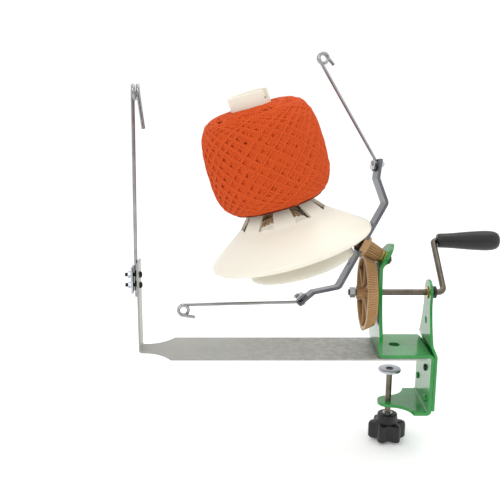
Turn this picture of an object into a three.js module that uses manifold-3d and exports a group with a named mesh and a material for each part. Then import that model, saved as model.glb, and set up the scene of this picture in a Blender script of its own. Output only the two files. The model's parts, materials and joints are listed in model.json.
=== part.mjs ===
// Hand-cranked ball winder that clamps to a table edge. Millimetres, +Z up.
// The origin is on the table face (the base plate's underside), on the axis of the clamp screw.
// +X runs towards the crank, +Y towards the back.
import * as THREE from "three";
import { mergeVertices } from "three/addons/utils/BufferGeometryUtils.js";
import Module from "manifold-3d";

const wasm = await Module();
wasm.setup();

// ---------- driving dimensions ----------
const GAP = 0.3; // air left between faces that touch
const PLATE_WIDTH = 80; // base plate and bracket
const PLATE_THICK = 2.5;
const PLATE_LEFT = -334.5;
const PLATE_RIGHT = 40;
const STRIP_WIDTH = 30; // narrowed end of the base plate
const UPRIGHT_TOP = 122;

const BRACKET_THICK = 4.5;
const UPRIGHT_X = -20.75; // middle of the bracket's left upright
const CHEEK_X = 47.25; // middle of the bracket's downturned cheek
const JAW_Z = -75;
const JAW_END_RADIUS = 14.6;
const SUPPORT_THICK = 3.5;
const SUPPORT_UPPER_X = 46.75;
const SUPPORT_LOWER_X = 51.55;
const SUPPORT_TOP = 97;

const SHAFT_Z = 80;
const ROD_RADIUS = 4; // crank rod, spindle and clamp screw
const RUNNING_RADIUS = ROD_RADIUS + GAP;
const CRANK_THROW = 90;
const CRANK_LEAN = 54.5; // rest angle of the crank, back from upright
const CRANK_CORNER_X = 66.5;
const GRIP_START = 71.8;
const GRIP_LENGTH = 86;

const APEX_X = 66; // the crank and flyer axes cross here, at shaft height
const FLYER_TILT = 30; // flyer axis above horizontal, rising to the left
const GEAR_TEETH = 96;
const PINION_TEETH = 20;
const GEAR_CONE_LARGE = 118; // cone distances of the drive gear's tooth ends
const GEAR_CONE_SMALL = 102.5;
const PINION_START = 100; // along the flyer axis from the apex
const PINION_END = 121.5;
const ARM_MIDDLE = 127.5;
const ARM_THICK = 4;
const ARM_WIDTH = 25;
const FLYER_LEAN = 12; // rest angle of the flyer about its own axis
const HOOK_RADIUS = 178;
const HOOK_REACH = 291.5;
const WIRE_RADIUS = 2;
const RING_RADIUS = 6.2;

const CONE_TILT = 16.5; // cone axis from vertical, leaning left
const BEND_REACH = 254.5; // where the flyer axis meets the cone axis
const HUB_TEETH = 10;
const RING_TEETH = 56;
const RING_CONE_LARGE = 70;
const RING_CONE_SMALL = 62;
const WINDOW_COUNT = 7;

const POST_RADIUS = 2.4;
const POST_Y = 4;
const POST_BOLT_HEIGHTS = [105, 91];

const RAD = Math.PI / 180;
const vec = (x, y, z) => new THREE.Vector3(x, y, z);

// ---------- finishes ----------
const finish = (color, roughness, metalness) =>
  new THREE.MeshStandardMaterial({ color, roughness, metalness });
const GREY_LACQUER = finish(0xa5a7a4, 0.5, 0.4);
const GREEN_PAINT = finish(0x16a832, 0.25, 0.0);
const BRIGHT_STEEL = finish(0xb4b6b8, 0.2, 1.0);
const ZINC = finish(0xa9b0b8, 0.35, 0.9);
const ROD_STEEL = finish(0x575049, 0.35, 0.9);
const ARM_STEEL = finish(0x6a6e72, 0.4, 0.9);
const BLACK_STEEL = finish(0x1b1b1c, 0.5, 0.6);
const BRASS = finish(0xb08a3c, 0.3, 1.0);
const TAN_NYLON = finish(0xb98a55, 0.5, 0.0);
const IVORY_PLASTIC = finish(0xeeead9, 0.4, 0.0);
const BLACK_PLASTIC = finish(0x141414, 0.45, 0.0);
const ORANGE_YARN = finish(0xd9531e, 0.9, 0.0);

// ---------- solids ----------
function facingOut(positions, index) {
  let volume = 0;
  const [a, b, c] = [vec(0, 0, 0), vec(0, 0, 0), vec(0, 0, 0)];
  for (let i = 0; i < index.length; i += 3) {
    a.fromArray(positions, 3 * index[i]);
    b.fromArray(positions, 3 * index[i + 1]);
    c.fromArray(positions, 3 * index[i + 2]);
    volume += a.dot(b.cross(c));
  }
  return volume > 0;
}

function solid(geometry) {
  const bare = geometry.clone();
  bare.deleteAttribute("normal");
  bare.deleteAttribute("uv");
  const merged = mergeVertices(bare, 1e-4);
  const positions = merged.attributes.position.array;
  const index = [];
  const all = merged.index.array;
  for (let i = 0; i < all.length; i += 3) {
    const [a, b, c] = [all[i], all[i + 1], all[i + 2]];
    if (a !== b && b !== c && c !== a) index.push(a, b, c);
  }
  if (!facingOut(positions, index)) index.reverse();
  return new wasm.Manifold(new wasm.Mesh({
    numProp: 3,
    vertProperties: Float32Array.from(positions),
    triVerts: Uint32Array.from(index),
  }));
}

function toGeometry(manifold) {
  const mesh = manifold.getMesh();
  const geometry = new THREE.BufferGeometry();
  geometry.setAttribute("position", new THREE.BufferAttribute(mesh.vertProperties, 3));
  geometry.setIndex(new THREE.BufferAttribute(mesh.triVerts, 1));
  geometry.computeVertexNormals();
  return geometry;
}

const joined = (first, ...rest) => rest.reduce((sum, next) => sum.add(next), first);
const cut = (body, ...tools) => tools.reduce((rest, tool) => rest.subtract(tool), body);

// A box from its lowest to its highest corner.
function block(low, high) {
  const geometry = new THREE.BoxGeometry(high[0] - low[0], high[1] - low[1], high[2] - low[2]);
  const middle = low.map((value, i) => (value + high[i]) / 2);
  return solid(geometry.translate(...middle));
}

// A round bar between two points, or a hexagonal one with six sides.
function bar(radius, from, to, sides = 20) {
  const along = to.clone().sub(from);
  const geometry = new THREE.CylinderGeometry(radius, radius, along.length(), sides);
  const turn = new THREE.Quaternion().setFromUnitVectors(vec(0, 1, 0), along.clone().normalize());
  geometry.applyQuaternion(turn);
  geometry.translate(...from.clone().add(to).multiplyScalar(0.5).toArray());
  return solid(geometry);
}

// A round bar along X through (y, z), or along Z through (x, y).
const barX = (radius, y, z, x0, x1, sides) => bar(radius, vec(x0, y, z), vec(x1, y, z), sides);
const barZ = (radius, x, y, z0, z1, sides) => bar(radius, vec(x, y, z0), vec(x, y, z1), sides);

// A turned piece about Z from a profile of [radius, height] points.
// A profile that stays off the axis is a ring, and closes on itself.
function turned(profile, sides = 18) {
  const points = profile.map(([radius, height]) => new THREE.Vector2(radius, height));
  const onAxis = profile[0][0] === 0 && profile.at(-1)[0] === 0;
  if (!onAxis) points.push(points[0].clone());
  return solid(new THREE.LatheGeometry(points, sides).rotateX(Math.PI / 2));
}

const ring = (inner, outer, z0, z1, sides) =>
  turned([[inner, z0], [outer, z0], [outer, z1], [inner, z1]], sides);

// An outline of [x, y] points, turned about the origin.
function outlineAt(points, turn) {
  const middle = new THREE.Vector2(0, 0);
  return new THREE.Shape(points.map(([x, y]) => new THREE.Vector2(x, y).rotateAround(middle, turn)));
}

// A flat outline pushed up along Z from z0 to z1.
function prism(shape, z0, z1, curveSegments = 6) {
  const options = { depth: z1 - z0, bevelEnabled: false, curveSegments };
  return solid(new THREE.ExtrudeGeometry(shape, options).translate(0, 0, z0));
}

// The same outline drawn in (y, z) and pushed along X.
function prismX(shape, x0, x1, curveSegments = 6) {
  const options = { depth: x1 - x0, bevelEnabled: false, curveSegments };
  const geometry = new THREE.ExtrudeGeometry(shape, options);
  geometry.applyMatrix4(new THREE.Matrix4().makeBasis(vec(0, 1, 0), vec(0, 0, 1), vec(1, 0, 0)));
  return solid(geometry.translate(x0, 0, 0));
}

// A line through corners whose bends are rounded; each corner is a Vector3.
function rounded(corners, bend, arcSteps = 4) {
  const nodes = [corners[0]];
  for (let i = 1; i < corners.length - 1; i++) {
    const into = corners[i].clone().sub(corners[i - 1]).normalize();
    const out = corners[i + 1].clone().sub(corners[i]).normalize();
    const half = into.angleTo(out) / 2;
    const start = corners[i].clone().addScaledVector(into, -bend * Math.tan(half));
    const inward = out.clone().sub(into).normalize();
    const middle = corners[i].clone().addScaledVector(inward, bend / Math.cos(half));
    const arm = start.clone().sub(middle);
    const axis = into.clone().cross(out).normalize();
    for (let step = 0; step <= arcSteps; step++) {
      const turn = (2 * half * step) / arcSteps;
      nodes.push(arm.clone().applyAxisAngle(axis, turn).add(middle));
    }
  }
  nodes.push(corners.at(-1));
  return nodes;
}

// A curve that an extrusion follows from node to node, with mitred sections.
class NodePath extends THREE.Curve {
  constructor(nodes) {
    super();
    this.nodes = nodes;
  }

  getPoint(t) {
    const place = t * (this.nodes.length - 1);
    const first = Math.min(Math.floor(place + 1e-6), this.nodes.length - 2);
    return this.nodes[first].clone().lerp(this.nodes[first + 1], place - first);
  }

  getPointAt(t) {
    return this.getPoint(t);
  }

  getTangentAt(t) {
    const here = Math.round(t * (this.nodes.length - 1));
    const before = this.nodes[Math.max(here - 1, 0)];
    const after = this.nodes[Math.min(here + 1, this.nodes.length - 1)];
    const node = this.nodes[here];
    const into = node.clone().sub(before).normalize();
    const out = after.clone().sub(node).normalize();
    return into.add(out).normalize();
  }
}

function wire(nodes, radius, sides = 7) {
  const section = new THREE.Shape(circle(radius, sides));
  const extrudePath = new NodePath(nodes);
  const options = { steps: nodes.length - 1, extrudePath, bevelEnabled: false };
  return solid(new THREE.ExtrudeGeometry(section, options));
}

function circle(radius, sides) {
  const points = [];
  for (let i = 0; i < sides; i++) {
    const angle = (2 * Math.PI * i) / sides;
    points.push(new THREE.Vector2(radius * Math.cos(angle), radius * Math.sin(angle)));
  }
  return points;
}

// A flat bar bent along a line drawn in the XZ plane, of even thickness, width along Y.
function bentStrip(corners, bend, thickness, width) {
  const nodes = rounded(corners, bend);
  const path = new NodePath(nodes);
  const last = nodes.length - 1;
  const sides = [[], []];
  nodes.forEach((node, i) => {
    const tangent = path.getTangentAt(i / last);
    sides.forEach((side, k) => {
      const reach = (k ? -thickness : thickness) / 2;
      side.push(new THREE.Vector2(node.x + tangent.z * reach, node.z - tangent.x * reach));
    });
  });
  const shape = new THREE.Shape([...sides[0], ...sides[1].reverse()]);
  const geometry = new THREE.ExtrudeGeometry(shape, { depth: width, bevelEnabled: false });
  return solid(geometry.rotateX(Math.PI / 2).translate(0, width / 2, 0));
}

// A gear outline of straight-sided teeth. The widths are shares of the tooth pitch.
function toothed(count, rootRadius, tipRadius, rootShare, tipShare, phase) {
  const points = [];
  const pitch = (2 * Math.PI) / count;
  for (let i = 0; i < count; i++) {
    const middle = phase + i * pitch;
    const edges = [[-rootShare, rootRadius], [-tipShare, tipRadius], [tipShare, tipRadius],
      [rootShare, rootRadius]];
    edges.forEach(([share, radius]) => {
      const angle = middle + (share * pitch) / 2;
      points.push(new THREE.Vector2(radius * Math.cos(angle), radius * Math.sin(angle)));
    });
  }
  return new THREE.Shape(points);
}

// A tapered toothed body: the outline is true at height full, and shrinks towards the origin.
function bevelBody(outline, full, z0, z1) {
  const geometry = new THREE.ExtrudeGeometry(outline, { depth: z1 - z0, bevelEnabled: false });
  geometry.translate(0, 0, z0);
  const place = geometry.attributes.position;
  for (let i = 0; i < place.count; i++) {
    const scale = place.getZ(i) / full;
    place.setXY(i, place.getX(i) * scale, place.getY(i) * scale);
  }
  return solid(geometry);
}

// ---------- the assembly ----------
const winder = new THREE.Group();

function piece(name, body, material, parent = winder) {
  const mesh = new THREE.Mesh(toGeometry(body), material);
  mesh.name = name;
  parent.add(mesh);
  return mesh;
}

const crankFrame = new THREE.Group(); // +Z along the shaft, towards the crank
crankFrame.position.set(APEX_X, 0, SHAFT_Z);
crankFrame.rotation.y = 90 * RAD;
const flyerFrame = new THREE.Group(); // +Z along the flyer axis, up to the left
flyerFrame.position.set(APEX_X, 0, SHAFT_Z);
flyerFrame.rotation.y = -(90 - FLYER_TILT) * RAD;
const flyerTurn = new THREE.Group();
flyerTurn.rotation.z = FLYER_LEAN * RAD;
flyerFrame.add(flyerTurn);
const bendPoint = vec(-Math.cos(FLYER_TILT * RAD), 0, Math.sin(FLYER_TILT * RAD))
  .multiplyScalar(BEND_REACH)
  .add(vec(APEX_X, 0, SHAFT_Z));
const coneFrame = new THREE.Group(); // +Z along the cone axis, from the spindle's bend
coneFrame.position.copy(bendPoint);
coneFrame.rotation.y = -CONE_TILT * RAD;
winder.add(crankFrame, flyerFrame, coneFrame);

// ---------- base plate, with its narrow end turned up ----------
const UPRIGHT_LEFT = PLATE_LEFT + PLATE_THICK / 2;
const POST_BOLT_Y = -3.5;

function basePlate() {
  const half = PLATE_WIDTH / 2;
  const strip = STRIP_WIDTH / 2;
  const corners = [vec(UPRIGHT_LEFT, 0, UPRIGHT_TOP), vec(UPRIGHT_LEFT, 0, PLATE_THICK / 2),
    vec(PLATE_RIGHT, 0, PLATE_THICK / 2)];
  const bent = bentStrip(corners, 3, PLATE_THICK, PLATE_WIDTH);
  const plan = new THREE.Shape();
  plan.moveTo(PLATE_RIGHT + 1, -half);
  plan.lineTo(PLATE_RIGHT + 1, half);
  plan.lineTo(-291, half);
  plan.quadraticCurveTo(-303, strip + 3, -324, strip);
  plan.lineTo(PLATE_LEFT - 1, strip);
  plan.lineTo(PLATE_LEFT - 1, -strip);
  plan.lineTo(-324, -strip);
  plan.quadraticCurveTo(-303, -strip - 3, -291, -half);
  const holes = POST_BOLT_HEIGHTS.map((z) =>
    barX(2.8, POST_BOLT_Y, z, PLATE_LEFT - 5, PLATE_LEFT + 8, 12));
  return cut(bent.intersect(prism(plan, -1, UPRIGHT_TOP + 1)), ...holes);
}
piece("base_plate", basePlate(), GREY_LACQUER);

// ---------- guide post and its clamp ----------
const CLAMP_PLATE_RIGHT = -340.1;

function guidePost() {
  const turns = 1.5;
  const loopRadius = 8;
  const loopZ = 338;
  const loopX = -334.6;
  const pitch = 5.9;
  const nodes = [vec(-337.3, POST_Y, 73), vec(-337.3, POST_Y, 126)];
  const steps = 20;
  for (let i = 0; i <= steps; i++) {
    const angle = (2 * Math.PI * turns * i) / steps;
    const y = POST_Y - loopRadius + loopRadius * Math.cos(angle);
    nodes.push(vec(loopX + (pitch * turns * i) / steps, y, loopZ + loopRadius * Math.sin(angle)));
  }
  const loopEnd = nodes.at(-1);
  nodes.push(vec(loopEnd.x + 0.4, loopEnd.y, loopEnd.z - 4), vec(-320.7, loopEnd.y, 294));
  return wire(nodes, POST_RADIUS);
}
piece("guide_post", guidePost(), BRIGHT_STEEL);

const POST_BOLT_NAMES = ["upper", "lower"];
const postClampPlate = block([CLAMP_PLATE_RIGHT - 2.5, -11, 81], [CLAMP_PLATE_RIGHT, 9, 115]);
piece("post_clamp_plate", cut(postClampPlate, ...POST_BOLT_HEIGHTS.map((z) =>
  barX(2.8, POST_BOLT_Y, z, -345, -338, 12))), ZINC);

// A dome-headed bolt along +Z: the head's flat face is at 0, and the shank runs down to -length.
function domeBolt(radius, headRadius, headHeight, length, sides = 14) {
  return turned([[0, -length], [radius, -length], [radius, 0], [headRadius, 0],
    [headRadius, headHeight * 0.35], [headRadius * 0.72, headHeight * 0.8], [0, headHeight]], sides);
}

function hexNut(acrossFlats, bore, height) {
  const corner = acrossFlats / 2 / Math.cos(30 * RAD);
  return cut(barZ(corner, 0, 0, 0, height, 6), barZ(bore, 0, 0, -1, height + 1, 12));
}

const PLATE_INNER_X = PLATE_LEFT + PLATE_THICK;
POST_BOLT_HEIGHTS.forEach((z, i) => {
  const bolt = piece(`post_bolt_${POST_BOLT_NAMES[i]}`, domeBolt(2.5, 4.4, 3.6, 19), BLACK_STEEL);
  bolt.position.set(PLATE_INNER_X + GAP, POST_BOLT_Y, z);
  bolt.rotation.y = 90 * RAD;
  const nut = piece(`post_nut_${POST_BOLT_NAMES[i]}`, hexNut(8, 2.8, 4), ZINC);
  nut.position.set(CLAMP_PLATE_RIGHT - 2.5 - GAP, POST_BOLT_Y, z);
  nut.rotation.y = -90 * RAD;
});

// ---------- main bracket: tongue, upright, seat, cheek and jaw in one bent strip ----------
const BRACKET_MIDDLE_Z = PLATE_THICK + GAP + BRACKET_THICK / 2;
const TONGUE_REACH = 94; // middle of the tongue, along the flyer axis from the apex
const TONGUE_AXIS_X = APEX_X - Math.cos(FLYER_TILT * RAD) * TONGUE_REACH;
const TONGUE_AXIS_Z = SHAFT_Z + Math.sin(FLYER_TILT * RAD) * TONGUE_REACH;
const TONGUE_RADIUS = 21;
const BUSH_RADIUS = 6;
// Fixings of the crank support on the cheek: [name, y, z, finish]
const CHEEK_FIXINGS = [
  ["support_rivet_front", -22, -60, GREEN_PAINT],
  ["support_rivet_rear", 27, -48, GREEN_PAINT],
  ["support_bolt", -13, -20, BLACK_STEEL],
];
const FIXING_RADIUS = 2.9;

function uprightOutline() {
  const half = PLATE_WIDTH / 2;
  const outline = new THREE.Shape();
  outline.moveTo(-half, 0);
  outline.lineTo(half, 0);
  outline.lineTo(half, 32);
  outline.quadraticCurveTo(24, 60, TONGUE_RADIUS, 104);
  outline.lineTo(TONGUE_RADIUS, TONGUE_AXIS_Z);
  outline.absellipse(0, TONGUE_AXIS_Z, TONGUE_RADIUS,
    TONGUE_RADIUS * Math.cos(FLYER_TILT * RAD), 0, Math.PI, false);
  outline.lineTo(-TONGUE_RADIUS, 104);
  outline.quadraticCurveTo(-24, 60, -half, 32);
  return outline;
}

function jawOutline() {
  const half = PLATE_WIDTH / 2;
  const outline = new THREE.Shape();
  outline.moveTo(60, -half);
  outline.lineTo(60, half);
  outline.lineTo(27, half);
  outline.quadraticCurveTo(23, JAW_END_RADIUS + 3, 0, JAW_END_RADIUS);
  outline.absarc(0, 0, JAW_END_RADIUS, Math.PI / 2, (3 * Math.PI) / 2, false);
  outline.quadraticCurveTo(23, -JAW_END_RADIUS - 3, 27, -half);
  return outline;
}

function mainBracket() {
  const lean = (TONGUE_AXIS_X - UPRIGHT_X) / Math.tan(FLYER_TILT * RAD);
  const tongueTop = vec(TONGUE_AXIS_X + 13, 0, TONGUE_AXIS_Z + 13 / Math.tan(FLYER_TILT * RAD));
  const corners = [tongueTop, vec(UPRIGHT_X, 0, TONGUE_AXIS_Z - lean),
    vec(UPRIGHT_X, 0, BRACKET_MIDDLE_Z), vec(CHEEK_X, 0, BRACKET_MIDDLE_Z),
    vec(CHEEK_X, 0, JAW_Z), vec(-JAW_END_RADIUS - 4, 0, JAW_Z)];
  const bent = bentStrip(corners, 4.2, BRACKET_THICK, PLATE_WIDTH);
  const above = cut(block([-40, -50, 12], [20, 50, 170]), prismX(uprightOutline(), -41, 21));
  const below = cut(block([-40, -50, -90], [42, 50, -60]), prism(jawOutline(), -91, -59, 10));
  const u = vec(-Math.cos(FLYER_TILT * RAD), 0, Math.sin(FLYER_TILT * RAD));
  const apex = vec(APEX_X, 0, SHAFT_Z);
  const spindleHole = bar(RUNNING_RADIUS, apex.clone().addScaledVector(u, 80),
    apex.clone().addScaledVector(u, 105));
  return cut(bent, above, below, spindleHole,
    barX(BUSH_RADIUS + GAP, 0, SHAFT_Z, -40, 0),
    barZ(7.3, 4.5, 0, 0, 20),
    barZ(RUNNING_RADIUS, 0, 0, -90, -60),
    ...CHEEK_FIXINGS.map(([, y, z]) => barX(FIXING_RADIUS + GAP, y, z, 40, 60, 12)));
}
piece("main_bracket", mainBracket(), GREEN_PAINT);

// ---------- crank support, fixed outside the cheek ----------
function supportOutline() {
  const half = PLATE_WIDTH / 2;
  const radius = 17;
  const outline = new THREE.Shape();
  outline.moveTo(-half, -71);
  outline.lineTo(half, -71);
  outline.lineTo(half, 10);
  outline.quadraticCurveTo(25, 26, radius, 64);
  outline.lineTo(radius, SUPPORT_TOP - radius);
  outline.absarc(0, SUPPORT_TOP - radius, radius, 0, Math.PI, false);
  outline.lineTo(-radius, 64);
  outline.quadraticCurveTo(-25, 26, -half, 10);
  return outline;
}

function crankSupport() {
  const corners = [vec(SUPPORT_UPPER_X, 0, SUPPORT_TOP + 5), vec(SUPPORT_UPPER_X, 0, 16),
    vec(SUPPORT_LOWER_X, 0, 4), vec(SUPPORT_LOWER_X, 0, -80)];
  const bent = bentStrip(corners, 5, SUPPORT_THICK, PLATE_WIDTH);
  return cut(bent.intersect(prismX(supportOutline(), 40, 60)),
    barX(BUSH_RADIUS + GAP, 0, SHAFT_Z, 40, 60),
    barX(5, 0, 42, 40, 60, 16),
    ...CHEEK_FIXINGS.map(([, y, z]) => barX(FIXING_RADIUS + GAP, y, z, 40, 60, 12)));
}
piece("crank_support", crankSupport(), GREEN_PAINT);

const CHEEK_INNER = CHEEK_X - BRACKET_THICK / 2;
const SUPPORT_OUTER = SUPPORT_LOWER_X + SUPPORT_THICK / 2;
CHEEK_FIXINGS.forEach(([name, y, z, material]) => {
  const inside = SUPPORT_OUTER - CHEEK_INNER + 2 * GAP;
  const body = turned([[0, -inside - 2.6], [3.6, -inside - 2.2], [5, -inside], [FIXING_RADIUS, -inside],
    [FIXING_RADIUS, 0], [5.4, 0], [5.4, 1], [3.6, 2.8], [0, 3.2]], 14);
  const fixing = piece(name, body, material);
  fixing.position.set(SUPPORT_OUTER + GAP, y, z);
  fixing.rotation.y = 90 * RAD;
});

// ---------- shaft bushes: a flange, then a sleeve through the plate ----------
function bush(sleeveLength) {
  return turned([[RUNNING_RADIUS, 0], [8, 0], [8, 1.2], [BUSH_RADIUS, 1.2],
    [BUSH_RADIUS, sleeveLength], [RUNNING_RADIUS, sleeveLength]], 20);
}
const uprightFace = UPRIGHT_X - BRACKET_THICK / 2;
const supportFace = SUPPORT_UPPER_X - SUPPORT_THICK / 2;
const BUSHES = [["shaft_bush_left", uprightFace], ["shaft_bush_right", supportFace]];
BUSHES.forEach(([name, face]) => {
  const mesh = piece(name, bush(7.2), BRASS);
  mesh.position.set(face - GAP - 1.2, 0, SHAFT_Z);
  mesh.rotation.y = 90 * RAD;
});

// ---------- crank: bent rod, grip, collar, drive gear and its nut ----------
const lean = CRANK_LEAN * RAD;
const GRIP_Y = CRANK_THROW * Math.sin(lean);
const GRIP_Z = SHAFT_Z + CRANK_THROW * Math.cos(lean);
const GEAR_NUT_X = -50.4;

function crankRod() {
  const first = rounded([vec(-59.5, 0, SHAFT_Z), vec(CRANK_CORNER_X, 0, SHAFT_Z),
    vec(CRANK_CORNER_X, GRIP_Y / 2, (SHAFT_Z + GRIP_Z) / 2)], 8);
  const second = rounded([vec(CRANK_CORNER_X, GRIP_Y / 2, (SHAFT_Z + GRIP_Z) / 2),
    vec(CRANK_CORNER_X, GRIP_Y, GRIP_Z), vec(GRIP_START + GRIP_LENGTH - 12, GRIP_Y, GRIP_Z)], 5);
  return wire([...first, ...second.slice(1)], ROD_RADIUS, 14);
}
piece("crank_rod", crankRod(), ROD_STEEL);

function grip() {
  const bore = ROD_RADIUS + 0.5;
  const boreEnd = GRIP_LENGTH - 9;
  return turned([[0, boreEnd], [bore, boreEnd], [bore, 0], [8.6, 0], [9.8, 2], [10.2, 12],
    [11.6, 32], [13.2, 54], [13.8, 68], [13, 78], [10, 84], [5, GRIP_LENGTH], [0, GRIP_LENGTH]]);
}
const gripMesh = piece("grip", grip(), BLACK_PLASTIC);
gripMesh.position.set(GRIP_START, GRIP_Y, GRIP_Z);
gripMesh.rotation.y = 90 * RAD;

const collar = piece("crank_collar", ring(RUNNING_RADIUS, 8, 0, 3.4), BLACK_PLASTIC);
collar.position.set(52.4, 0, SHAFT_Z);
collar.rotation.y = 90 * RAD;
const shaftNut = piece("gear_nut", hexNut(13, RUNNING_RADIUS, 7), ZINC);
shaftNut.position.set(GEAR_NUT_X, 0, SHAFT_Z);
shaftNut.rotation.y = -90 * RAD;

// Bevel pair: the cone angles follow from the shaft angle and the tooth counts.
const coneAngle = (shaftAngle, ownTeeth, otherTeeth) =>
  Math.atan2(Math.sin(shaftAngle), otherTeeth / ownTeeth + Math.cos(shaftAngle));
const shaftAngle = FLYER_TILT * RAD;
const pinionAngle = coneAngle(shaftAngle, PINION_TEETH, GEAR_TEETH);
const gearAngle = shaftAngle - pinionAngle;
const GEAR_LARGE_Z = -GEAR_CONE_LARGE * Math.cos(gearAngle);
const GEAR_SMALL_Z = -GEAR_CONE_SMALL * Math.cos(gearAngle);
const gearRadius = GEAR_CONE_LARGE * Math.sin(gearAngle);
const gearModule = (2 * gearRadius) / GEAR_TEETH;

function driveGear() {
  const tip = gearRadius + (0.7 * gearModule) / Math.cos(gearAngle);
  const root = gearRadius - (1.1 * gearModule) / Math.cos(gearAngle);
  const outline = toothed(GEAR_TEETH, root, tip, 0.62, 0.24, 0);
  const body = bevelBody(outline, GEAR_LARGE_Z, GEAR_LARGE_Z, GEAR_SMALL_Z);
  const dish = ring(10, 45, GEAR_LARGE_Z - 1, GEAR_LARGE_Z + 6, 28);
  const hub = barZ(8.5, 0, 0, GEAR_LARGE_Z - 7.6, GEAR_LARGE_Z + 7);
  const ribs = [0, 1, 2, 3, 4, 5].map((i) => {
    const rib = outlineAt([[8, -1.5], [46, -1.5], [46, 1.5], [8, 1.5]], 60 * i * RAD);
    return prism(rib, GEAR_LARGE_Z + 1.5, GEAR_LARGE_Z + 6.5);
  });
  const bore = barZ(RUNNING_RADIUS, 0, 0, -140, -80);
  return cut(joined(cut(body, dish), hub, ...ribs), bore);
}
piece("drive_gear", driveGear(), TAN_NYLON, crankFrame);

// ---------- spindle: fixed rod along the flyer axis, bent up along the cone axis ----------
const SPINDLE_LOW = -78; // ends of the upright part, along the cone axis
const SPINDLE_HIGH = 131;
const THRUST_START = 96.6;

function spindle() {
  const u = vec(-Math.cos(shaftAngle), 0, Math.sin(shaftAngle));
  const t = vec(-Math.sin(CONE_TILT * RAD), 0, Math.cos(CONE_TILT * RAD));
  const from = vec(APEX_X, 0, SHAFT_Z).addScaledVector(u, 83);
  const inclined = bar(ROD_RADIUS, from, bendPoint, 16);
  const upright = bar(ROD_RADIUS, bendPoint.clone().addScaledVector(t, SPINDLE_LOW),
    bendPoint.clone().addScaledVector(t, SPINDLE_HIGH), 16);
  return joined(inclined, upright);
}
piece("spindle", spindle(), BRIGHT_STEEL);
piece("spindle_nut", hexNut(13, RUNNING_RADIUS, 6), BLACK_STEEL, flyerFrame)
  .position.z = TONGUE_REACH - BRACKET_THICK / 2 - GAP - 6;
piece("thrust_washer", ring(RUNNING_RADIUS, 9, 0, 3), BRASS, flyerFrame).position.z = THRUST_START;

// ---------- flyer: pinion, arm, collar, hub pinion, and a hooked wire at each end ----------
const pinionReach = GEAR_CONE_LARGE * Math.cos(pinionAngle);
const pinionRadius = GEAR_CONE_LARGE * Math.sin(pinionAngle);
const pinionModule = (2 * pinionRadius) / PINION_TEETH;
const HALF_TURN = Math.PI;
const ARM_BACK = ARM_MIDDLE - ARM_THICK / 2;
const ARM_FRONT = ARM_MIDDLE + ARM_THICK / 2;

function flyerPinion() {
  const tip = pinionRadius + 0.7 * pinionModule;
  const root = pinionRadius - 1.1 * pinionModule;
  // A tooth space faces the drive gear's tooth at the bottom of the pinion.
  const phase = HALF_TURN - FLYER_LEAN * RAD + HALF_TURN / PINION_TEETH;
  const outline = toothed(PINION_TEETH, root, tip, 0.6, 0.22, phase);
  const teeth = bevelBody(outline, pinionReach, PINION_START, PINION_END);
  const flange = barZ(15, 0, 0, PINION_END - 0.5, ARM_BACK - GAP, 24);
  const inner = ARM_WIDTH / 2 + GAP;
  const lug = (side) => block([-8, Math.min(side * inner, side * (inner + 3)), PINION_END],
    [8, Math.max(side * inner, side * (inner + 3)), ARM_FRONT + 1]);
  return cut(joined(teeth, flange, lug(1), lug(-1)), barZ(RUNNING_RADIUS + 0.1, 0, 0, 90, 140, 16));
}
piece("flyer_pinion", flyerPinion(), TAN_NYLON, flyerTurn);

const ARM_FLAT = 62; // the arm is straight this far out, then bends twice
const ARM_KNEE = vec(84, 0, ARM_MIDDLE + 26);
const ARM_TIP = vec(107, 0, ARM_MIDDLE + 35);
const tipDirection = ARM_TIP.clone().sub(ARM_KNEE).normalize();
const tipNormal = vec(-tipDirection.z, 0, tipDirection.x); // towards the cone
const CLAMP_BACK = 6; // clamp bolt, back from the arm's tip
const CLAMP_BOLT_Y = -4;
const CLAMP_WIRE_Y = 4;
const WIRE_OFFSET = ARM_THICK / 2 + GAP + WIRE_RADIUS;
const CLAMP_PLATE_OFFSET = WIRE_OFFSET + WIRE_RADIUS + GAP;
const CLAMP_PLATE_THICK = 1.6;
const boltPlace = ARM_TIP.clone().addScaledVector(tipDirection, -CLAMP_BACK);
const clampTurn = Math.atan2(tipNormal.x, tipNormal.z);

function flyerArm() {
  const mirrored = [ARM_TIP, ARM_KNEE, vec(ARM_FLAT, 0, ARM_MIDDLE)];
  const other = mirrored.map((corner) => vec(-corner.x, 0, corner.z)).reverse();
  const strip = bentStrip([...mirrored, ...other], 6, ARM_THICK, ARM_WIDTH);
  const axial = (x) => barZ(x === 0 ? RUNNING_RADIUS + 0.1 : 2.2, x, 0, 100, 140, 12);
  const tips = [1, -1].map((side) => {
    const middle = vec(side * boltPlace.x, CLAMP_BOLT_Y * side, boltPlace.z);
    const along = vec(side * tipNormal.x, 0, tipNormal.z);
    return bar(2.5, middle.clone().addScaledVector(along, -8),
      middle.clone().addScaledVector(along, 8), 12);
  });
  return cut(strip, axial(0), axial(29), axial(-29), ...tips);
}
piece("flyer_arm", flyerArm(), ARM_STEEL, flyerTurn);
piece("flyer_collar", ring(RUNNING_RADIUS + 0.1, 9.5, 0, 3.4), BLACK_PLASTIC, flyerTurn)
  .position.z = ARM_FRONT + GAP;

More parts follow.
